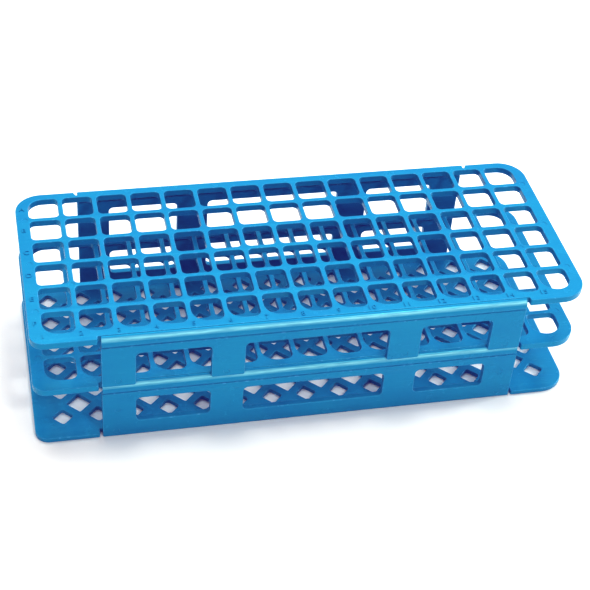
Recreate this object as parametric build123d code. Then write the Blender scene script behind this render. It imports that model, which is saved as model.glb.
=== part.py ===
from build123d import *
import math
import os

# Test tube rack: 15 columns by 6 rows of square holes in two tiers above a drained base plate.
# Millimetres, +X along the length, +Y to the rear, +Z up, origin at the centre of the footprint.

# ---- Driving dimensions -------------------------------------------------------------------
COLUMNS = 15
ROWS = 6
PITCH = 15.77                  # hole to hole, both ways
HOLE = 13.6                    # square hole, takes a 12 to 13 mm tube
LENGTH = 246.0
DEPTH = 104.6                  # over the outer faces of the side panels
HEIGHT = 58.65                 # over the raised index marks
CORNER_RADIUS = 12.0           # plan corners of all three plates
FRONT_LEFT_RADIUS = 6.0        # one corner is tighter, which shows how the plates go together
PLATE = 3.2                    # thickness of the two grid plates
BASE = 2.3                     # thickness of the base plate
INDEX_RELIEF = 0.3             # the numerals and letters stand this proud
MIDDLE_TOP = 31.6              # upper face of the middle plate
SEAM = 50.1                    # front and rear edge of the grid plates along the panels

PANEL_HALF_LENGTH = 94.0
PANEL = 3.0                    # thickness of a side panel
PANEL_DROP = 5.7               # from a plate's upper face down to its panels
WINDOW_MIDDLE = 32.0           # half length of the middle window
WINDOW_SIDE = (46.7, 79.3)     # near and far end of an outer window
WINDOW_RADIUS = 2.2
LOWER_WINDOW = (8.4, 22.0)     # sill and head of the lower windows
UPPER_WINDOW_HEAD = 48.2       # the upper windows are open at the bottom
NOTCH = 1.2                    # slot between the end of a panel and the plate beside it
NOTCH_DEPTH = 2.2

HINGE_STEP = 0.4               # the hinge web starts this far below the plate's upper face
HINGE_WEB = 0.9                # thickness of the moulded-in hinge
HINGE_RADIUS = 2.1
HINGE_END_GAP = 0.2            # the web stops this short of the panel's end

FOOT_CLEARANCE = 0.05          # between the foot of an upper panel and the hinge it stands on
FOOT_LAP = 1.05                # the foot laps this far down over the outside of that hinge
REBATE_CLEARANCE = 0.15        # above the plate's edge, so that the foot can swing out over it
BASE_CLEARANCE = 0.2           # between the base plate and the panels and catches around its edge
CATCH = (10.0, 1.2, 1.5)       # catch that holds the base plate down: x, y and z size
CATCH_CENTRES = (39.35, 86.65)

PLACE_DIAMOND = 4.5            # half diagonal of the drain hole under each tube
CROSSING_DIAMOND = 5.5         # half diagonal of the drain hole between four tubes
CORNER_HOLE_RADIUS = 6.0       # the four corner holes follow the plan corners

MARK_HEIGHT = 2.8              # index marks: plain bars, like the strokes of a digital clock
MARK_WIDTH = 1.5
MARK_STROKE = 0.4
MARK_SPACING = 2.2             # between the two digits of a number
MARK_MARGIN = 0.15             # between the holes and the tops of the numbers

# ---- Derived places -----------------------------------------------------------------------
TOP = HEIGHT - INDEX_RELIEF                    # upper face of the top plate
FACE = DEPTH / 2                               # outer face of the side panels
INNER_FACE = FACE - PANEL
HALF_LENGTH = LENGTH / 2
FRONT_EDGE = -FACE                             # outline of the plates beyond the panels
REAR_EDGE = SEAM
GRID_X = (COLUMNS - 1) / 2 * PITCH + HOLE / 2  # half size of the field of holes
GRID_Y = (ROWS - 1) / 2 * PITCH + HOLE / 2
NOTCH_END = PANEL_HALF_LENGTH + NOTCH
CORNER_X = HALF_LENGTH - CORNER_RADIUS
FRONT_CORNER_Y = FRONT_EDGE + CORNER_RADIUS
REAR_CORNER_Y = REAR_EDGE - CORNER_RADIUS
BASE_RECESS = INNER_FACE - BASE_CLEARANCE
CORNER_WEDGES = 3

column_centres = [(c - (COLUMNS - 1) / 2) * PITCH for c in range(COLUMNS)]
row_centres = [(r - (ROWS - 1) / 2) * PITCH for r in range(ROWS)]
column_ribs = [(x0 + x1) / 2 for x0, x1 in zip(column_centres, column_centres[1:])]
row_ribs = [(y0 + y1) / 2 for y0, y1 in zip(row_centres, row_centres[1:])]


# ---- Helpers ------------------------------------------------------------------------------
def block(x, y, z):
    """A box from three (low, high) pairs."""
    size = [high - low for low, high in (x, y, z)]
    centre = [(high + low) / 2 for low, high in (x, y, z)]
    return Pos(*centre) * Box(*size)


def solids_of(shapes):
    """The separate solids in a list of shapes."""
    return [solid for shape in shapes for solid in shape.solids()]


def write(name, shapes):
    """One STEP file for a node made of one solid or of several that only touch."""
    solids = solids_of(shapes)
    export_step(Compound(children=solids) if len(solids) > 1 else solids[0], f"parts/{name}.step")


def outline(z_low, z_high):
    """The rounded plan outline that all three plates share."""
    middle_y = (FRONT_EDGE + REAR_EDGE) / 2
    plan = Pos(0, middle_y, z_low) * Rectangle(LENGTH, REAR_EDGE - FRONT_EDGE)
    front_left = (-HALF_LENGTH, FRONT_EDGE, z_low)
    plan = fillet(plan.vertices().sort_by_distance(front_left)[1:], CORNER_RADIUS)
    plan = fillet(plan.vertices().sort_by_distance(front_left)[:1], FRONT_LEFT_RADIUS)
    return extrude(plan, amount=z_high - z_low)


# ---- Base plate ---------------------------------------------------------------------------
def diamond(x, y, half_diagonal):
    """A square drain hole that stands on its corner."""
    side = half_diagonal * math.sqrt(2)
    return Pos(x, y, BASE / 2) * Rot(0, 0, 45) * Box(side, side, 2 * BASE)


def base_plate():
    """A drained slab between the panels and a wider rounded end on each side of it."""
    drains = [diamond(x, y, PLACE_DIAMOND) for x in column_centres for y in row_centres]
    drains += [diamond(x, y, CROSSING_DIAMOND) for x in column_ribs for y in row_ribs]
    slab = block((-NOTCH_END, NOTCH_END), (-BASE_RECESS, BASE_RECESS), (0, BASE)) - drains
    ends = []
    for low, high in ((-HALF_LENGTH, -NOTCH_END), (NOTCH_END, HALF_LENGTH)):
        end = outline(0, BASE) & block((low, high), (-DEPTH, DEPTH), (0, BASE))
        ends.append(end - drains)
    return [slab] + ends


# ---- Grid plates --------------------------------------------------------------------------
def corner_wedges(side, rear, z):
    """A rounded corner of the rim, in wedges that stay convex beside the corner hole."""
    centre_y = REAR_CORNER_Y if rear else FRONT_CORNER_Y
    out_y = 1 if rear else -1
    hole = RectangleRounded(2 * GRID_X, 2 * GRID_Y, CORNER_HOLE_RADIUS)
    rim = outline(*z) - extrude(Pos(0, 0, z[0]) * hole, amount=z[1] - z[0])
    reach = 2 * CORNER_RADIUS
    wedges = []
    for step in range(CORNER_WEDGES):
        angles = [math.radians(90 * (step + k) / CORNER_WEDGES) for k in (0, 1)]
        rays = [(reach * math.cos(a) * side, reach * math.sin(a) * out_y) for a in angles]
        sector = make_face(Polyline((0, 0), rays[0], rays[1], close=True))
        sector = extrude(Pos(side * CORNER_X, centre_y, z[0]) * sector, amount=z[1] - z[0])
        wedges.append(rim & sector)
    return wedges


def plate_rim(top):
    """Rim strips of a grid plate. The front one is set back beside the panel."""
    z = (top - PLATE, top)
    strips = [
        block((-NOTCH_END, NOTCH_END), (-SEAM, -GRID_Y), z),
        block((-PANEL_HALF_LENGTH, PANEL_HALF_LENGTH), (GRID_Y, SEAM), z),
    ]
    for side in (-1, 1):
        notch = sorted((side * PANEL_HALF_LENGTH, side * NOTCH_END))
        end_bar = sorted((side * NOTCH_END, side * CORNER_X))
        side_strip = sorted((side * GRID_X, side * HALF_LENGTH))
        strips.append(block(notch, (GRID_Y, SEAM - NOTCH_DEPTH), z))
        strips.append(block(end_bar, (GRID_Y, REAR_EDGE), z))
        strips.append(block(end_bar, (FRONT_EDGE, -GRID_Y), z))
        strips.append(block(side_strip, (FRONT_CORNER_Y, REAR_CORNER_Y), z))
        for rear in (False, True):
            strips += corner_wedges(side, rear, z)
    return strips


def cross_ribs(top):
    """Ribs from front to rear, one between each two columns."""
    half = (PITCH - HOLE) / 2
    return [block((x - half, x + half), (-GRID_Y, GRID_Y), (top - PLATE, top)) for x in column_ribs]


def long_ribs(top):
    """Rib pieces along the length, one behind each hole but those of the last row."""
    half = (PITCH - HOLE) / 2
    return [
        block((x - HOLE / 2, x + HOLE / 2), (y - half, y + half), (top - PLATE, top))
        for x in column_centres
        for y in row_ribs
    ]


# ---- Side panels and the hinge webs that carry them -----------------------------------------
def to_side(shape, rear):
    """Everything on the sides is drawn at the front. The rear one is its mirror image."""
    return mirror(shape, about=Plane.XZ) if rear else shape


def hinge_web(top, rear):
    """Thin flexible fold from the plate's edge down to the head of the panel."""
    crown = top - HINGE_STEP
    bend = crown - HINGE_RADIUS
    foot = top - PANEL_DROP
    inner_radius = HINGE_RADIUS - HINGE_WEB
    outer = -SEAM - HINGE_RADIUS
    diagonal = math.sqrt(0.5)
    section = [
        Line((-SEAM, crown - HINGE_WEB), (-SEAM, crown)),
        ThreePointArc(
            (-SEAM, crown),
            (-SEAM - HINGE_RADIUS * diagonal, bend + HINGE_RADIUS * diagonal),
            (outer, bend),
        ),
        Line((outer, bend), (outer, foot)),
        Line((outer, foot), (outer + HINGE_WEB, foot)),
        Line((outer + HINGE_WEB, foot), (outer + HINGE_WEB, bend)),
        ThreePointArc(
            (outer + HINGE_WEB, bend),
            (-SEAM - inner_radius * diagonal, bend + inner_radius * diagonal),
            (-SEAM, crown - HINGE_WEB),
        ),
    ]
    half = PANEL_HALF_LENGTH - HINGE_END_GAP
    face = Plane.YZ * make_face(section)
    return to_side(extrude(Pos(-half, 0, 0) * face, amount=2 * half), rear)


def window(x, z):
    """A window through the panel, as a block with rounded corners."""
    frame = Plane.XZ * RectangleRounded(x[1] - x[0], z[1] - z[0], WINDOW_RADIUS)
    centre = Pos((x[0] + x[1]) / 2, -INNER_FACE, (z[0] + z[1]) / 2)
    return centre * extrude(frame, amount=2 * PANEL, both=True)


def panel_windows(z):
    """Three windows, between four legs."""
    near, far = WINDOW_SIDE
    spans = ((-far, -near), (-WINDOW_MIDDLE, WINDOW_MIDDLE), (near, far))
    return [window(span, z) for span in spans]


def catches():
    """Catches inside the lower panel, just above the base plate."""
    x_size, y_size, z_size = CATCH
    z_low = BASE + BASE_CLEARANCE
    pieces = []
    for x in [side * centre for side in (-1, 1) for centre in CATCH_CENTRES]:
        low = (-INNER_FACE, z_low)
        section = Plane.YZ * make_face(
            Polyline(low, (low[0] + y_size, z_low), (low[0], z_low + z_size), close=True)
        )
        pieces.append(extrude(Pos(x - x_size / 2, 0, 0) * section, amount=x_size))
    return pieces


def lower_panel(rear):
    """Panel with three closed windows, which covers the edge of the base plate."""
    span = (-PANEL_HALF_LENGTH, PANEL_HALF_LENGTH)
    panel = block(span, (-FACE, -INNER_FACE), (0, MIDDLE_TOP - PANEL_DROP))
    panel = panel - panel_windows(LOWER_WINDOW) + catches()
    return to_side(panel, rear)


def hinge_seat():
    """The round of the middle tier's hinge, with clearance, where an upper panel's feet sit on it."""
    radius = HINGE_RADIUS + FOOT_CLEARANCE
    centre = Pos(0, -SEAM, MIDDLE_TOP - HINGE_STEP - HINGE_RADIUS)
    return centre * Rot(0, 90, 0) * Cylinder(radius, 2 * PANEL_HALF_LENGTH)


def upper_panel(rear):
    """Comb of four legs, whose feet stand on the hinge of the middle tier and lap over it."""
    foot = MIDDLE_TOP - HINGE_STEP - FOOT_LAP
    span = (-PANEL_HALF_LENGTH, PANEL_HALF_LENGTH)
    panel = block(span, (-FACE, -INNER_FACE), (foot, TOP - PANEL_DROP))
    panel -= panel_windows((foot - PLATE, UPPER_WINDOW_HEAD))
    rebate_y = (-SEAM - FOOT_CLEARANCE, -INNER_FACE)
    panel -= block(span, rebate_y, (foot, MIDDLE_TOP + REBATE_CLEARANCE))
    panel -= hinge_seat()
    return to_side(panel, rear)


# ---- Raised index marks ---------------------------------------------------------------------
# Which bars make each character: a top, b and c right, d bottom, e and f left, g middle.
BARS = {
    "0": "abcdef", "1": "bc", "2": "abged", "3": "abgcd", "4": "fgbc", "5": "afgcd",
    "6": "afgedc", "7": "abc", "8": "abcdefg", "9": "abfgcd",
    "A": "abcefg", "B": "cdefg", "C": "adef", "D": "bcdeg", "E": "adefg", "F": "aefg",
}


def bar(letter):
    """One bar of a character that is centred on the origin."""
    x = MARK_WIDTH / 2
    y = MARK_HEIGHT / 2
    ends = {
        "a": ((-x, x), (y, y)), "g": ((-x, x), (0, 0)), "d": ((-x, x), (-y, -y)),
        "b": ((x, x), (0, y)), "c": ((x, x), (-y, 0)),
        "f": ((-x, -x), (0, y)), "e": ((-x, -x), (-y, 0)),
    }
    half = MARK_STROKE / 2
    (x_low, x_high), (y_low, y_high) = ends[letter]
    return block((x_low - half, x_high + half), (y_low - half, y_high + half), (TOP, HEIGHT))


def marks(text, x, y):
    """Raised characters on the top plate, one solid each. The last one is centred on (x, y)."""
    characters = []
    for place, character in enumerate(reversed(text)):
        bars = [bar(letter) for letter in BARS[character]]
        whole = bars[0] + bars[1:]
        characters.append(Pos(x - place * MARK_SPACING, y, 0) * whole)
    return characters


def column_numerals():
    """Numbers on the front rim, each in front of the rib to the left of its column."""
    y = -(GRID_Y + MARK_MARGIN + MARK_HEIGHT / 2 + MARK_STROKE / 2)
    pieces = []
    for column, x in enumerate(column_centres, start=1):
        pieces += marks(str(column), x - PITCH / 2 + MARK_SPACING / 2, y)
    return pieces


def row_letters():
    """Letters on the left rim, from A at the rear to F at the front."""
    x = -(GRID_X + HALF_LENGTH) / 2
    pieces = []
    for letter, y in zip("FEDCBA", row_centres):
        pieces += marks(letter, x, y)
    return pieces


# ---- The whole rack -------------------------------------------------------------------------
os.makedirs("parts", exist_ok=True)
write("base_plate", base_plate())
for tier, level in (("middle", MIDDLE_TOP), ("top", TOP)):
    write(f"{tier}_plate_rim", plate_rim(level))
    write(f"{tier}_plate_cross_ribs", cross_ribs(level))
    write(f"{tier}_plate_long_ribs", long_ribs(level))
    write(f"{tier}_front_hinge", [hinge_web(level, rear=False)])
    write(f"{tier}_rear_hinge", [hinge_web(level, rear=True)])
write("lower_front_panel", [lower_panel(rear=False)])
write("lower_rear_panel", [lower_panel(rear=True)])
write("upper_front_panel", [upper_panel(rear=False)])
write("upper_rear_panel", [upper_panel(rear=True)])
write("column_numerals", column_numerals())
write("row_letters", row_letters())
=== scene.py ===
import math

import bmesh
import bpy
from mathutils import Matrix, Vector


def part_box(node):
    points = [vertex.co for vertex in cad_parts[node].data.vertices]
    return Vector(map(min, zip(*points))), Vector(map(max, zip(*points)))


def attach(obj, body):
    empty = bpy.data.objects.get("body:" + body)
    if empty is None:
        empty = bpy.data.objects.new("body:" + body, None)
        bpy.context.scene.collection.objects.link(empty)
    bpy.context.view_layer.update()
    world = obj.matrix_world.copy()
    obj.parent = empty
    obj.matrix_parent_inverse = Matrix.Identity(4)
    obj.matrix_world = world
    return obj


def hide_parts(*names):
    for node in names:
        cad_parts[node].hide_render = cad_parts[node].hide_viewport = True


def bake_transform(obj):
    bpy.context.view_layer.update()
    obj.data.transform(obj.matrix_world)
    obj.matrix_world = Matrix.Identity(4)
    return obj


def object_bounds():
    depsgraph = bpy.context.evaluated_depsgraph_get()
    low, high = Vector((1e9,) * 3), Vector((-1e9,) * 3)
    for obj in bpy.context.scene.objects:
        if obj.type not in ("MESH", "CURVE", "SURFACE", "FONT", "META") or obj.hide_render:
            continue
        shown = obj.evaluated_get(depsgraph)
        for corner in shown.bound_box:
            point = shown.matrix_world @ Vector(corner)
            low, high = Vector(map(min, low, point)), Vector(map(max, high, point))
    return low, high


# Looks of a flat-pack test tube rack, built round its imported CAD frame. Sizes are in millimetres.

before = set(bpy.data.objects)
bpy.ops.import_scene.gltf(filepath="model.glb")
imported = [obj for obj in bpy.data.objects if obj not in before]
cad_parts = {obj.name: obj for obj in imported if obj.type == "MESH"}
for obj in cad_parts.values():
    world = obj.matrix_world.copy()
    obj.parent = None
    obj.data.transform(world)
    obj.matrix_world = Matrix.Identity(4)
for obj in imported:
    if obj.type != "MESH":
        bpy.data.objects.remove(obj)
cad_low, cad_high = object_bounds()

MM = 0.001


def cad_box(node):
    """Lowest and highest corner of a CAD node at rest, in millimetres."""
    low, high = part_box(node)
    return low / MM, high / MM


# ---- Sizes from the frame -----------------------------------------------------------------
COLUMNS = 15
ROWS = 6
rim_low, rim_high = cad_box("top_plate_rim")
fold_low, fold_high = cad_box("top_front_hinge")
long_rib_end = cad_box("top_plate_long_ribs")[1].x
cross_rib_end = cad_box("top_plate_cross_ribs")[1]
mark_top = cad_box("column_numerals")[1].z

HOLE = long_rib_end - cross_rib_end.x
PITCH = (long_rib_end + cross_rib_end.x) / (COLUMNS - 1)
GRID_X = long_rib_end                # half size of the field of holes
GRID_Y = cross_rib_end.y
HALF_LENGTH = rim_high.x
FRONT = rim_low.y                    # outline of the plates beyond the panels
REAR = rim_high.y
SEAM = rim_high.y                    # edge of the plates along both panels
PLATE = rim_high.z - rim_low.z
BASE = cad_box("base_plate")[1].z
TOP = rim_high.z
MIDDLE_TOP = cad_box("middle_plate_rim")[1].z
FACE = cad_high.y / MM               # outer face of the side panels
FOOT = cad_box("upper_front_panel")[0].z
FOLD_END = fold_high.x
FOLD_OUT = -fold_low.y               # outermost point of the folded web
PANEL_DROP = TOP - fold_low.z        # from the plate's upper face down to the head of the panel
FOLD_STEP = TOP - fold_high.z        # and down to the web

# ---- Sizes of what the frame leaves plain --------------------------------------------------
PLATE_RADIUS = 12.0                  # plan corners of the three plates
FRONT_LEFT_RADIUS = 6.0              # but for one, which is tighter
HOLE_RADIUS = 2.3
ROUND_CORNER = 6.8                   # hole corners beside a numeral and in the plate's corners
FRONT_RIGHT_CORNER = 3.2             # the other front corner of a hole in the front row
PLATE_EDGE = 0.35                    # rounding of the grid plates' edges
BASE_EDGE = 0.4
NOTCH_NEAR = 94.0                    # slots between the panels and the plates' wider ends
NOTCH_FAR = 95.2
NOTCH_DEPTH = 2.2
NOTCH_SLANT = 0.5                    # the rear slots lean out by this each way
SEAM_CORNER = 0.5                    # corner radii round the slots
END_CORNER = 0.8
SLOT_CORNER = 0.4
BASE_SLOT_CORNER = 0.3
BASE_RECESS = 49.1                   # edge of the base plate behind the panels
PLACE_DIAMOND = (4.75, 1.2)          # half diagonal and corner radius of the drain holes
CROSSING_DIAMOND = (5.7, 0.6)

PANEL = 3.0
PANEL_EDGE = 0.45
PANEL_CORNER = 0.5
PANEL_HALF = 94.0
WINDOW_MIDDLE = 32.0
WINDOW_NEAR = 46.7
WINDOW_FAR = 79.3
WINDOW_RADIUS = 2.2
LOWER_SILL = 8.4
LOWER_HEAD = 22.0
UPPER_HEAD = 48.2
FOOT_CORNER = 0.9
FOOT_CLEARANCE = 0.05                # between an upper foot and the folded web it stands on
REBATE_TOP = 0.15                    # the rebate in an upper foot clears the plate's top by this
REBATE_BACK = 0.05                   # and the plate's edge by this
REBATE_EDGE = 0.2
CATCH = (10.0, 1.2, 1.5)             # catch that holds the base plate down: x, y and z size
CATCH_CENTRES = (39.35, 86.65)
CATCH_EDGE = 0.15
CATCH_ROOT = 1.0                     # it starts this deep in the panel
CATCH_SLOPE = 0.8                    # and loses this part of its height towards its nose
BASE_CLEARANCE = 0.2                 # between the base plate and a catch

WEB = 0.9                            # thickness of the folded web
FOLD_HEIGHT = 3.1                    # it turns down through this height
FOLD_NECK = 0.35                     # and is thinner by this much where it meets the panel
NECK_POWER = 4                       # the higher, the closer to the panel the neck begins
FOLD_CHORDS = 18                     # steps along the bend, and along the straight part below it
STRAIGHT_CHORDS = 6
FOLD_ROUND = 0.2                     # rounding at the ends of the web
STRESS_HIGHLIGHT_TURN = 50.0                   # the paler line, stress whitening and a painted highlight, runs here, in degrees round from the crown
STRESS_HIGHLIGHT_SPREAD = 30.0

CHORD_ERROR = 0.02                   # how far a chord may stray from its arc
EDGE_ROUNDS = 2
BLOCK_EDGE_CHORDS = 3
WELD_DISTANCE = 0.001
SMOOTH_ANGLE = 50.0
EDGE_SLOPES = (0.1, 0.98)            # a face counts as a worn edge when it slopes between these

# ---- Small marks of moulding ----------------------------------------------------------------
PIT_RADIUS = 1.3                     # round marks left by ejector pins
PIT_DEPTH = 0.16
PIT_SLOPE = 0.25                     # the cutter grows by this over twice the depth of a mark
PIT_SIDES = 24
RIM_PITS = [(sign * 119.2, row * 2 * PITCH) for sign in (-1, 1) for row in (-1, 0, 1)]
CROSSING_PITS = [(sign * 6.5 * PITCH, -PITCH) for sign in (-1, 1)]
UPPER_PITS = [(sign * x, 33.1) for sign in (-1, 1) for x in (40.2, 87.0)]
LOWER_PITS = [(sign * x, z) for sign in (-1, 1) for x, z in ((87.3, 16.0), (88.0, 3.4))]
MARK_HEIGHT = 2.6                    # raised numerals and letters
MARK_SPACING = 1.15
CAPITAL_HEIGHT = 0.7                 # of the font, as a part of its size
NUMERAL_OUT = 1.5                    # middle of the numerals, out from the holes
NUMERAL_RIGHT = 1.9                  # and their right end, past the middle of the rib behind them

# ---- Colours of the plastic ---------------------------------------------------------------
BLUE = (0.004, 0.276, 0.478)
BLUE_DEEP = (0.003, 0.246, 0.462)
BLUE_PALE = (0.006, 0.305, 0.505)
BLUE_STRESSED_HIGHLIGHT = (0.36, 0.82, 0.90)   # where a fold has stretched it, and a painted highlight along the fold
BLUE_SCUFFED = (0.10, 0.42, 0.68)    # along worn edges
SPECULAR_TINT = (0.05, 0.9, 1.0, 1)
PLASTIC_IOR = 1.49

# ---- Camera and light ---------------------------------------------------------------------
CAMERA_PLACE = (-135.02, -501.33, 469.97)
CAMERA_HEADING = -15.404             # degrees, turned from +Y
CAMERA_DOWN = 40.420
CAMERA_ROLL = 5.170
CAMERA_LENS = 89.11
CAMERA_SHIFT = -0.0051
LIGHT_DISTANCE = 1.8                 # metres
RACK_MIDDLE = Vector((0, 0, 0.03))
SOFTBOXES = (                        # name, direction, and size and power as if from one metre
    ("overhead", (0.05, 0.35, 0.93), 0.8, 9.5),
    ("front", (0.30, -0.62, 0.75), 0.09, 1.9),
    ("fill", (0.22, -0.93, 0.32), 0.5, 0.35),
    ("right", (0.90, 0.10, 0.45), 0.22, 4.6),
)
STUDIO_LIGHT = 0.64                  # strength of the white surrounding as a light
STUDIO_SEEN = 1.0                    # and as the camera sees it
FLOOR_HALF = 1.0                     # metres
FLOOR_COLOUR = (0.96, 0.93, 0.91, 1)
FLOOR_ROUGHNESS = 0.8
FLOOR_SPECULAR = 0.2
GAMMA = 0.77
BLACK_LEVELS = (-0.02, 0.03, -0.03)  # red and blue are lifted a little in the dark, green is lowered

column_centres = [(c - (COLUMNS - 1) / 2) * PITCH for c in range(COLUMNS)]
row_centres = [(r - (ROWS - 1) / 2) * PITCH for r in range(ROWS)]
column_ribs = [(a + b) / 2 for a, b in zip(column_centres, column_centres[1:])]
row_ribs = [(a + b) / 2 for a, b in zip(row_centres, row_centres[1:])]

X, Y, Z = range(3)
UPRIGHT = Matrix.Rotation(math.radians(90), 4, "X")


# ---- Outlines -----------------------------------------------------------------------------
def arc_chords(radius, angle):
    """How many chords keep an arc within CHORD_ERROR of round."""
    step = 2 * math.acos(1 - min(1.0, CHORD_ERROR / radius))
    return max(2, math.ceil(angle / step))


def rounded(corners):
    """Closed outline through (x, y, radius) corners, with a tangent arc at each."""
    outline = []
    for k, (x, y, radius) in enumerate(corners):
        here = Vector((x, y))
        back = (Vector(corners[k - 1][:2]) - here).normalized()
        ahead = (Vector(corners[(k + 1) % len(corners)][:2]) - here).normalized()
        if radius == 0:
            outline.append((x, y))
            continue
        half_angle = back.angle(ahead) / 2
        centre = here + (back + ahead).normalized() * radius / math.sin(half_angle)
        start = here + back * radius / math.tan(half_angle) - centre
        turn = math.pi - 2 * half_angle
        if back.x * ahead.y - back.y * ahead.x > 0:
            turn = -turn
        chords = arc_chords(radius, abs(turn))
        for step in range(chords + 1):
            angle = turn * step / chords
            point = centre + Matrix.Rotation(angle, 2) @ start
            outline.append((point.x, point.y))
    return outline


def both_sides(right_half):
    """A whole outline from the corners of its right half, which run from front to rear."""
    left_half = []
    for x, y, radius in reversed(right_half):
        at_corner = (x, y) == (HALF_LENGTH, FRONT)
        left_half.append((-x, y, FRONT_LEFT_RADIUS if at_corner else radius))
    return right_half + left_half


def plate_outline():
    """Plan of a grid plate, set back to the seam between its wider rounded ends."""
    return rounded(both_sides([
        (NOTCH_FAR, -SEAM, SEAM_CORNER),
        (NOTCH_FAR, FRONT, END_CORNER),
        (HALF_LENGTH, FRONT, PLATE_RADIUS),
        (HALF_LENGTH, REAR, PLATE_RADIUS),
        (NOTCH_FAR + NOTCH_SLANT, REAR, SEAM_CORNER),
        (NOTCH_FAR - NOTCH_SLANT, REAR - NOTCH_DEPTH, SLOT_CORNER),
        (NOTCH_NEAR, REAR - NOTCH_DEPTH, SLOT_CORNER),
        (NOTCH_NEAR, REAR, SLOT_CORNER),
    ]))


def base_outline():
    """Plan of the base plate, set back behind the panels."""
    return rounded(both_sides([
        (NOTCH_FAR, -BASE_RECESS, SEAM_CORNER),
        (NOTCH_FAR, FRONT, END_CORNER),
        (HALF_LENGTH, FRONT, PLATE_RADIUS),
        (HALF_LENGTH, REAR, PLATE_RADIUS),
        (NOTCH_FAR, REAR, SEAM_CORNER),
        (NOTCH_FAR, BASE_RECESS, BASE_SLOT_CORNER),
    ]))


def hole_outline(column, row):
    """A tube hole. Its corner is rounder in a corner of the plate, and where a numeral stands."""
    x = column_centres[column]
    y = row_centres[row]
    corners = []
    for side_x, side_y in ((-1, -1), (1, -1), (1, 1), (-1, 1)):
        at_end = column == (0 if side_x < 0 else COLUMNS - 1)
        at_side = row == (0 if side_y < 0 else ROWS - 1)
        radius = HOLE_RADIUS
        if row == 0 and side_y < 0:
            radius = ROUND_CORNER if side_x < 0 else FRONT_RIGHT_CORNER
        if at_end and at_side:
            radius = ROUND_CORNER
        corners.append((x + side_x * HOLE / 2, y + side_y * HOLE / 2, radius))
    return rounded(corners)


def diamond_outline(x, y, half_diagonal, radius):
    """A drain hole, a square that stands on its corner."""
    points = ((0, -1), (1, 0), (0, 1), (-1, 0))
    return rounded([(x + half_diagonal * a, y + half_diagonal * b, radius) for a, b in points])


def window_outline(left, right, low, high):
    """A window with four equal corners."""
    corners = ((left, low), (right, low), (right, high), (left, high))
    return rounded([(x, z, WINDOW_RADIUS) for x, z in corners])


# ---- Mesh tools ---------------------------------------------------------------------------
def add_object(name, mesh):
    """A linked object for a mesh."""
    piece = bpy.data.objects.new(name, mesh)
    bpy.context.scene.collection.objects.link(piece)
    return piece


def slab(name, outlines, thickness, edge, place):
    """A flat moulding with rounded edges. It is drawn in its own plane, centred, and then placed."""
    curve = bpy.data.curves.new(name, "CURVE")
    curve.dimensions = "2D"
    curve.fill_mode = "BOTH"
    curve.extrude = thickness / 2 - edge
    curve.bevel_depth = edge
    curve.bevel_resolution = EDGE_ROUNDS
    curve.offset = -edge
    for outline in outlines:
        spline = curve.splines.new("POLY")
        spline.points.add(len(outline) - 1)
        for point, (x, y) in zip(spline.points, outline):
            point.co = (x, y, 0, 1)
        spline.use_cyclic_u = True
    drawn = add_object(name + "_outline", curve)
    mesh = bpy.data.meshes.new_from_object(drawn)
    bpy.data.objects.remove(drawn)
    mesh.transform(place)
    weld(mesh)
    return add_object(name, mesh)


def weld(mesh):
    """Joins the points that the sides and the faces of a moulding share."""
    shape = bmesh.new()
    shape.from_mesh(mesh)
    bmesh.ops.remove_doubles(shape, verts=shape.verts, dist=WELD_DISTANCE)
    bmesh.ops.recalc_face_normals(shape, faces=shape.faces)
    shape.to_mesh(mesh)
    shape.free()


def bevelled_block(x, y, z, edge):
    """A mesh box from three (low, high) pairs, with all its edges rounded."""
    shape = bmesh.new()
    bmesh.ops.create_cube(shape, size=1)
    for vertex in shape.verts:
        for axis, (low, high) in enumerate((x, y, z)):
            vertex.co[axis] = high if vertex.co[axis] > 0 else low
    bmesh.ops.bevel(
        shape, geom=shape.edges[:], offset=edge, segments=BLOCK_EDGE_CHORDS, profile=0.5, affect="EDGES"
    )
    mesh = bpy.data.meshes.new("block")
    shape.to_mesh(mesh)
    shape.free()
    return mesh


def join(piece, mesh):
    """Adds a mesh to a piece."""
    shape = bmesh.new()
    shape.from_mesh(piece.data)
    shape.from_mesh(mesh)
    shape.to_mesh(piece.data)
    shape.free()


def combine(piece, mesh, operation):
    """Cuts a mesh out of a piece, or unites the two."""
    tool = add_object("tool", mesh)
    modifier = piece.modifiers.new(operation, "BOOLEAN")
    modifier.object = tool
    modifier.operation = operation
    modifier.solver = "EXACT"
    graph = bpy.context.evaluated_depsgraph_get()
    piece.data = bpy.data.meshes.new_from_object(piece.evaluated_get(graph))
    piece.modifiers.clear()
    bpy.data.objects.remove(tool)


def tag_edges(mesh, axis):
    """Marks the faces that round the edges of a moulding drawn along an axis, for wear."""
    worn = mesh.attributes.new("edge", "FLOAT", "FACE")
    for polygon in mesh.polygons:
        slope = abs(polygon.normal[axis])
        worn.data[polygon.index].value = 1.0 if EDGE_SLOPES[0] < slope < EDGE_SLOPES[1] else 0.0


def press_pits(piece, places, surface):
    """Cuts shallow round marks into a piece, at places on a surface whose Z points out."""
    shape = bmesh.new()
    for x, y in places:
        bmesh.ops.create_cone(
            shape, cap_ends=True, segments=PIT_SIDES, depth=2 * PIT_DEPTH, radius1=PIT_RADIUS,
            radius2=PIT_RADIUS + PIT_SLOPE, matrix=Matrix.Translation((x, y, 0)),
        )
    mesh = bpy.data.meshes.new("pits")
    shape.to_mesh(mesh)
    shape.free()
    mesh.transform(surface)
    combine(piece, mesh, "DIFFERENCE")


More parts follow.
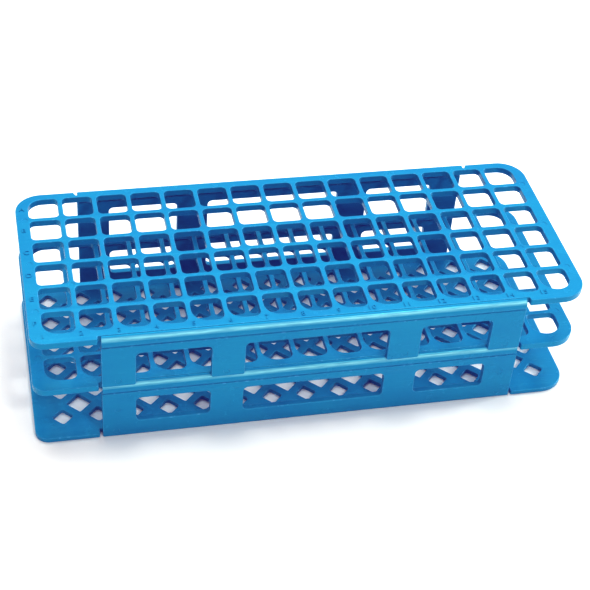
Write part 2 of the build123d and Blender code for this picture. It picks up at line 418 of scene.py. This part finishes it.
def finish_piece(piece, material, body, nodes, axis):
    """Scales a piece to metres, smooths its shading, hides the CAD nodes it stands in for, and ties it
    to its CAD body.
    """
    piece.data.transform(Matrix.Scale(MM, 4))
    tag_edges(piece.data, axis)
    piece.data.materials.clear()
    piece.data.materials.append(material)
    piece.data.shade_smooth()
    piece.data.set_sharp_from_angle(angle=math.radians(SMOOTH_ANGLE))
    normals = piece.modifiers.new("flat_faces", "WEIGHTED_NORMAL")
    normals.keep_sharp = True
    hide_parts(*nodes)
    if body:
        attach(piece, body)


# ---- Pieces -------------------------------------------------------------------------------
def grid_plate(tier, top, material):
    """The plate of one tier, in one moulding with all its ribs."""
    outlines = [plate_outline()]
    outlines += [hole_outline(c, r) for c in range(COLUMNS) for r in range(ROWS)]
    place = Matrix.Translation((0, 0, top - PLATE / 2))
    piece = slab(f"{tier}_tier_plate", outlines, PLATE, PLATE_EDGE, place)
    press_pits(piece, RIM_PITS + CROSSING_PITS, Matrix.Translation((0, 0, top)))
    nodes = [f"{tier}_plate_{part}" for part in ("rim", "cross_ribs", "long_ribs")]
    finish_piece(piece, material, f"{tier}_tier", nodes, Z)


def base_plate(material):
    """The drained plate that the rack stands on."""
    outlines = [base_outline()]
    outlines += [diamond_outline(x, y, *PLACE_DIAMOND) for x in column_centres for y in row_centres]
    outlines += [diamond_outline(x, y, *CROSSING_DIAMOND) for x in column_ribs for y in row_ribs]
    place = Matrix.Translation((0, 0, BASE / 2))
    piece = slab("base", outlines, BASE, BASE_EDGE, place)
    finish_piece(piece, material, "base", ["base_plate"], Z)


def fold_section(top):
    """Outer points of the folded web from plate to panel, each with its normal and its depth."""
    reach = FOLD_OUT - SEAM
    crown = top - FOLD_STEP
    points = []
    for step in range(FOLD_CHORDS + 1):
        turn = math.radians(90 * step / FOLD_CHORDS)
        out = (math.sin(turn), math.cos(turn))
        normal = Vector((-out[0] / reach, out[1] / FOLD_HEIGHT)).normalized()
        points.append(((-SEAM - reach * out[0], crown - FOLD_HEIGHT * (1 - out[1])), normal, 0))
    low = top - PANEL_DROP
    high = crown - FOLD_HEIGHT
    for step in range(1, STRAIGHT_CHORDS + 1):
        part = step / STRAIGHT_CHORDS
        neck = FOLD_NECK * part ** NECK_POWER
        points.append(((-FOLD_OUT, high + (low - high) * part), Vector((-1, 0)), neck))
    return points


def tag_stress(mesh, top):
    """Marks where the web is bent, because the stretched plastic turns paler there, and where a
    highlight is painted along the fold.
    """
    stress_highlight = mesh.attributes.new("stress_highlight", "FLOAT", "POINT")
    for vertex in mesh.vertices:
        out = (abs(vertex.co.y) - SEAM) / (FOLD_OUT - SEAM)
        up = 1 - (top - FOLD_STEP - vertex.co.z) / FOLD_HEIGHT
        turn = math.degrees(math.atan2(out, up))
        stress_highlight.data[vertex.index].value = max(0.0, 1 - abs(turn - STRESS_HIGHLIGHT_TURN) / STRESS_HIGHLIGHT_SPREAD)


def fold_web(tier, side, top, material):
    """A living hinge, as a strip that bends between its plate and its panel."""
    shape = bmesh.new()
    stations = [-FOLD_END, -FOLD_END + FOLD_ROUND, FOLD_END - FOLD_ROUND, FOLD_END]
    skins = [FOLD_ROUND, 0, 0, FOLD_ROUND]
    sign = -1 if side == "rear" else 1
    rings = []
    for x, skin in zip(stations, skins):
        section = [(Vector(place), normal, depth + skin) for place, normal, depth in fold_section(top)]
        outer = [place - normal * depth for place, normal, depth in section]
        inner = [place - normal * (WEB - skin) for place, normal, depth in section]
        ring = outer + inner[::-1]
        rings.append([shape.verts.new((x, sign * y, z)) for y, z in ring])
    count = len(rings[0])
    for ring, following in zip(rings, rings[1:]):
        for k in range(count):
            j = (k + 1) % count
            shape.faces.new((ring[k], ring[j], following[j], following[k]))
    shape.faces.new(rings[0])
    shape.faces.new(rings[-1][::-1])
    bmesh.ops.recalc_face_normals(shape, faces=shape.faces)
    mesh = bpy.data.meshes.new("web")
    shape.to_mesh(mesh)
    shape.free()
    tag_stress(mesh, top)
    piece = add_object(f"{tier}_{side}_fold", mesh)
    finish_piece(piece, material, None, [f"{tier}_{side}_hinge"], X)
    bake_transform(piece)


def panel_windows(low, high):
    """The outlines of three windows."""
    spans = ((-WINDOW_FAR, -WINDOW_NEAR), (-WINDOW_MIDDLE, WINDOW_MIDDLE), (WINDOW_NEAR, WINDOW_FAR))
    return [window_outline(left, right, low, high) for left, right in spans]


def mirror_to_rear(piece):
    """Turns a piece drawn at the front into its mirror image at the rear."""
    piece.data.transform(Matrix.Scale(-1, 4, (0, 1, 0)))
    piece.data.flip_normals()


def add_catches(piece):
    """Wedge-shaped catches inside a lower panel, just above the base plate."""
    inner = -FACE + PANEL
    x_size, y_size, z_size = CATCH
    z_low = BASE + BASE_CLEARANCE
    for x in [sign * centre for sign in (-1, 1) for centre in CATCH_CENTRES]:
        x_span = (x - x_size / 2, x + x_size / 2)
        y_span = (inner - CATCH_ROOT, inner + y_size)
        catch = bevelled_block(x_span, y_span, (z_low, z_low + z_size), CATCH_EDGE)
        slope_catch(catch, inner, y_size, z_low, z_size)
        combine(piece, catch, "UNION")


def slope_catch(mesh, inner, y_size, z_low, z_size):
    """Lowers the top of a catch towards its nose."""
    for vertex in mesh.vertices:
        out = max(0.0, vertex.co.y - inner) / y_size
        height = (vertex.co.z - z_low) / z_size
        vertex.co.z = z_low + z_size * height * (1 - CATCH_SLOPE * out)


def lower_panel(side, material):
    """A side panel with three windows, which covers the edge of the base plate."""
    head = MIDDLE_TOP - PANEL_DROP
    corners = ((-PANEL_HALF, 0), (PANEL_HALF, 0), (PANEL_HALF, head), (-PANEL_HALF, head))
    outlines = [rounded([(x, z, PANEL_CORNER) for x, z in corners])]
    outlines += panel_windows(LOWER_SILL, LOWER_HEAD)
    place = Matrix.Translation((0, -FACE + PANEL / 2, 0)) @ UPRIGHT
    piece = slab(f"lower_{side}_side", outlines, PANEL, PANEL_EDGE, place)
    press_pits(piece, LOWER_PITS, Matrix.Translation((0, -FACE, 0)) @ UPRIGHT)
    add_catches(piece)
    if side == "rear":
        mirror_to_rear(piece)
    finish_piece(piece, material, f"lower_{side}_panel", [f"lower_{side}_panel"], Y)


def upper_outline(foot, head):
    """Outline of an upper panel: a comb of four legs."""
    low = [
        (-PANEL_HALF, foot, FOOT_CORNER), (-WINDOW_FAR, foot, FOOT_CORNER),
        (-WINDOW_FAR, UPPER_HEAD, WINDOW_RADIUS), (-WINDOW_NEAR, UPPER_HEAD, WINDOW_RADIUS),
        (-WINDOW_NEAR, foot, FOOT_CORNER), (-WINDOW_MIDDLE, foot, FOOT_CORNER),
        (-WINDOW_MIDDLE, UPPER_HEAD, WINDOW_RADIUS),
    ]
    mirrored = [(-x, z, radius) for x, z, radius in reversed(low)]
    upper = [(PANEL_HALF, head, PANEL_CORNER), (-PANEL_HALF, head, PANEL_CORNER)]
    return rounded(low + mirrored + upper)


def fold_seat():
    """What the feet of an upper panel leave free for the middle tier's folded web, as a mesh."""
    web = [Vector(place) + normal * FOOT_CLEARANCE for place, normal, _ in fold_section(MIDDLE_TOP)]
    inside = -SEAM + PANEL
    outline = [(inside, web[-1].y), (inside, web[0].y)] + [tuple(point) for point in web]
    shape = bmesh.new()
    ends = [[shape.verts.new((x, y, z)) for y, z in outline] for x in (-HALF_LENGTH, HALF_LENGTH)]
    for k in range(len(outline)):
        shape.faces.new((ends[0][k - 1], ends[0][k], ends[1][k], ends[1][k - 1]))
    for end in ends:
        shape.faces.new(end)
    bmesh.ops.recalc_face_normals(shape, faces=shape.faces)
    mesh = bpy.data.meshes.new("seat")
    shape.to_mesh(mesh)
    shape.free()
    return mesh


def upper_panel(side, material):
    """A side panel of four legs that stand on the middle tier."""
    head = TOP - PANEL_DROP
    place = Matrix.Translation((0, -FACE + PANEL / 2, 0)) @ UPRIGHT
    piece = slab(f"upper_{side}_side", [upper_outline(FOOT, head)], PANEL, PANEL_EDGE, place)
    y_span = (-SEAM - REBATE_BACK, -SEAM + PANEL)
    z_span = (FOOT - PANEL, MIDDLE_TOP + REBATE_TOP)
    rebate = bevelled_block((-HALF_LENGTH, HALF_LENGTH), y_span, z_span, REBATE_EDGE)
    combine(piece, rebate, "DIFFERENCE")
    combine(piece, fold_seat(), "DIFFERENCE")
    press_pits(piece, UPPER_PITS, Matrix.Translation((0, -FACE, 0)) @ UPRIGHT)
    if side == "rear":
        mirror_to_rear(piece)
    finish_piece(piece, material, f"upper_{side}_panel", [f"upper_{side}_panel"], Y)


def index_mark(text, x, y):
    """One raised numeral or letter on the top plate, as a mesh."""
    font = bpy.data.curves.new("mark", "FONT")
    font.body = text
    font.size = MARK_HEIGHT / CAPITAL_HEIGHT
    font.space_character = MARK_SPACING
    font.align_x = "RIGHT" if text.isdigit() else "CENTER"
    font.align_y = "CENTER"
    font.extrude = (mark_top - TOP) / 2
    drawn = add_object("mark", font)
    mesh = bpy.data.meshes.new_from_object(drawn)
    bpy.data.objects.remove(drawn)
    mesh.transform(Matrix.Translation((x, y, (mark_top + TOP) / 2)))
    return mesh


def marks(name, labels, node, material):
    """Raised marks at (text, x, y) places, in one piece."""
    piece = add_object(name, bpy.data.meshes.new(name))
    for text, x, y in labels:
        join(piece, index_mark(text, x, y))
    finish_piece(piece, material, "top_tier", [node], Z)


# ---- Materials ----------------------------------------------------------------------------
class Nodes:
    """Short calls for the nodes of one material."""

    def __init__(self, material):
        material.use_nodes = True
        self.tree = material.node_tree
        self.shader = self.tree.nodes["Principled BSDF"]

    def link(self, output, socket):
        self.tree.links.new(output, socket)

    def new(self, kind, **settings):
        node = self.tree.nodes.new("ShaderNode" + kind)
        for name, value in settings.items():
            setattr(node, name, value)
        return node

    def coordinates(self, stretch):
        """Object coordinates in millimetres, divided by a stretch along each axis."""
        mapping = self.new("Mapping")
        mapping.inputs["Scale"].default_value = [1 / (MM * size) for size in stretch]
        self.link(self.new("TexCoord").outputs["Object"], mapping.inputs["Vector"])
        return mapping.outputs["Vector"]

    def noise(self, stretch, detail=2.0):
        """Noise whose features have the given sizes along the axes, in millimetres."""
        node = self.new("TexNoise")
        node.inputs["Scale"].default_value = 1.0
        node.inputs["Detail"].default_value = detail
        self.link(self.coordinates(stretch), node.inputs["Vector"])
        return node.outputs["Fac"]

    def attribute(self, name):
        return self.new("Attribute", attribute_name=name).outputs["Fac"]

    def remap(self, value, span, result):
        """A value's span laid onto a span of results, and held at its ends."""
        node = self.new("MapRange")
        node.inputs["From Min"].default_value, node.inputs["From Max"].default_value = span
        node.inputs["To Min"].default_value, node.inputs["To Max"].default_value = result
        self.link(value, node.inputs["Value"])
        return node.outputs["Result"]

    def math(self, operation, first, second):
        """Sum, product and so on of an output and an output or a number."""
        node = self.new("Math", operation=operation)
        for socket, value in zip(node.inputs, (first, second)):
            if isinstance(value, (int, float)):
                socket.default_value = value
            else:
                self.link(value, socket)
        return node.outputs["Value"]

    def blend(self, factor, first, second):
        """Mixes two colours, each a colour or an output."""
        node = self.new("Mix", data_type="RGBA")
        self.link(factor, node.inputs["Factor"])
        for socket, value in zip((node.inputs[6], node.inputs[7]), (first, second)):
            if isinstance(value, tuple):
                socket.default_value = (*value, 1)
            else:
                self.link(value, socket)
        return node.outputs[2]

    def bump(self, height, distance, normal=None):
        """A bump of the given depth in millimetres, on top of an earlier one."""
        node = self.new("Bump")
        node.inputs["Distance"].default_value = distance * MM
        self.link(height, node.inputs["Height"])
        if normal:
            self.link(normal, node.inputs["Normal"])
        return node.outputs["Normal"]


def plastic(name):
    """Semi-gloss moulded polypropylene: cloudy pigment, flow streaks, scuffed edges, pale folds that
    also carry a painted highlight.
    """
    material = bpy.data.materials.new(name)
    make = Nodes(material)
    shader = make.shader
    shader.inputs["IOR"].default_value = PLASTIC_IOR
    shader.inputs["Specular Tint"].default_value = SPECULAR_TINT
    cloud = make.remap(make.noise((26, 26, 26), 3), (0.3, 0.7), (0, 1))
    flow = make.remap(make.noise((45, 6, 6), 3), (0.35, 0.65), (0, 1))
    grain = make.noise((0.7, 0.7, 0.7), 2)
    colour = make.blend(cloud, BLUE_DEEP, BLUE)
    colour = make.blend(make.math("MULTIPLY", flow, 0.35), colour, BLUE_PALE)
    patches = make.remap(make.noise((9, 0.6, 0.6), 3), (0.35, 0.65), (0.55, 1))
    stress_highlight = make.math("MULTIPLY", make.attribute("stress_highlight"), patches)
    # the folds turn paler where the plastic is stretched, and the same band paints a highlight along
    # them
    colour = make.blend(stress_highlight, colour, BLUE_STRESSED_HIGHLIGHT)
    chips = make.remap(make.noise((2.2, 2.2, 2.2), 5), (0.56, 0.66), (0, 0.5))
    wear = make.math("MULTIPLY", make.attribute("edge"), make.math("ADD", chips, 0.2))
    colour = make.blend(wear, colour, BLUE_SCUFFED)
    make.link(colour, shader.inputs["Base Color"])
    gloss = make.remap(make.noise((7, 7, 7), 4), (0.3, 0.7), (0.2, 0.29))
    scratch = make.remap(make.noise((9, 0.25, 0.25), 2), (0.66, 0.72), (0, 0.18))
    gloss = make.math("ADD", gloss, scratch)
    gloss = make.math("ADD", gloss, make.math("MULTIPLY", wear, 0.3))
    gloss = make.math("SUBTRACT", gloss, make.math("MULTIPLY", stress_highlight, 0.1))
    make.link(gloss, shader.inputs["Roughness"])
    peel = make.bump(make.noise((2.6, 2.6, 2.6), 2), 0.05)
    fine = make.bump(grain, 0.008, peel)
    make.link(make.bump(scratch, 0.01, fine), shader.inputs["Normal"])
    return material


# ---- Stage --------------------------------------------------------------------------------
def add_camera():
    """The camera, turned from level about its own axes."""
    data = bpy.data.cameras.new("camera")
    data.lens = CAMERA_LENS
    data.shift_x = CAMERA_SHIFT
    camera = bpy.data.objects.new("camera", data)
    bpy.context.scene.collection.objects.link(camera)
    camera.matrix_world = (
        Matrix.Translation(Vector(CAMERA_PLACE) * MM)
        @ Matrix.Rotation(math.radians(CAMERA_HEADING), 4, "Z")
        @ Matrix.Rotation(math.radians(90 - CAMERA_DOWN), 4, "X")
        @ Matrix.Rotation(math.radians(CAMERA_ROLL), 4, "Z")
    )
    bpy.context.scene.camera = camera


def add_floor():
    """A plain pale floor."""
    shape = bmesh.new()
    bmesh.ops.create_grid(shape, x_segments=1, y_segments=1, size=FLOOR_HALF)
    mesh = bpy.data.meshes.new("floor")
    shape.to_mesh(mesh)
    shape.free()
    floor = add_object("floor", mesh)
    material = bpy.data.materials.new("floor")
    material.use_nodes = True
    shader = material.node_tree.nodes["Principled BSDF"]
    shader.inputs["Base Color"].default_value = FLOOR_COLOUR
    shader.inputs["Roughness"].default_value = FLOOR_ROUGHNESS
    shader.inputs["Specular IOR Level"].default_value = FLOOR_SPECULAR
    mesh.materials.append(material)


def add_softbox(name, direction, size, power):
    """A square area light that faces the rack. Its size and power are as if from one metre."""
    data = bpy.data.lights.new(name, "AREA")
    data.shape = "SQUARE"
    data.size = size * LIGHT_DISTANCE
    data.energy = power * LIGHT_DISTANCE ** 2
    light = bpy.data.objects.new(name, data)
    bpy.context.scene.collection.objects.link(light)
    light.location = RACK_MIDDLE + Vector(direction).normalized() * LIGHT_DISTANCE
    light.rotation_euler = Vector(direction).to_track_quat("Z", "Y").to_euler()


def add_light():
    """Soft studio light, a white surrounding with softboxes, and the picture's tone."""
    world = bpy.data.worlds.new("studio")
    world.use_nodes = True
    nodes = world.node_tree.nodes
    links = world.node_tree.links
    background = nodes["Background"]
    background.inputs["Color"].default_value = (1, 1, 1, 1)
    path = nodes.new("ShaderNodeLightPath")
    strength = nodes.new("ShaderNodeMapRange")
    strength.inputs["To Min"].default_value = STUDIO_LIGHT
    strength.inputs["To Max"].default_value = STUDIO_SEEN
    links.new(path.outputs["Is Camera Ray"], strength.inputs["Value"])
    links.new(strength.outputs["Result"], background.inputs["Strength"])
    bpy.context.scene.world = world
    for softbox in SOFTBOXES:
        add_softbox(*softbox)
    view = bpy.context.scene.view_settings
    view.view_transform = "Standard"
    view.gamma = GAMMA
    view.use_curve_mapping = True
    view.curve_mapping.black_level = BLACK_LEVELS
    view.curve_mapping.update()


# ---- The whole rack -----------------------------------------------------------------------
blue = plastic("blue_plastic")
base_plate(blue)
for tier, top in (("middle", MIDDLE_TOP), ("top", TOP)):
    grid_plate(tier, top, blue)
    for side in ("front", "rear"):
        fold_web(tier, side, top, blue)
for side in ("front", "rear"):
    lower_panel(side, blue)
    upper_panel(side, blue)
left_rim = -(GRID_X + HALF_LENGTH) / 2
front_rim = -GRID_Y - NUMERAL_OUT
numbered = enumerate(column_centres, start=1)
numerals = [(str(column), x - PITCH / 2 + NUMERAL_RIGHT, front_rim) for column, x in numbered]
letters = [(letter, left_rim, y) for letter, y in zip("FEDCBA", row_centres)]
marks("numerals", numerals, "column_numerals", blue)
marks("letters", letters, "row_letters", blue)

add_floor()
add_light()
add_camera()
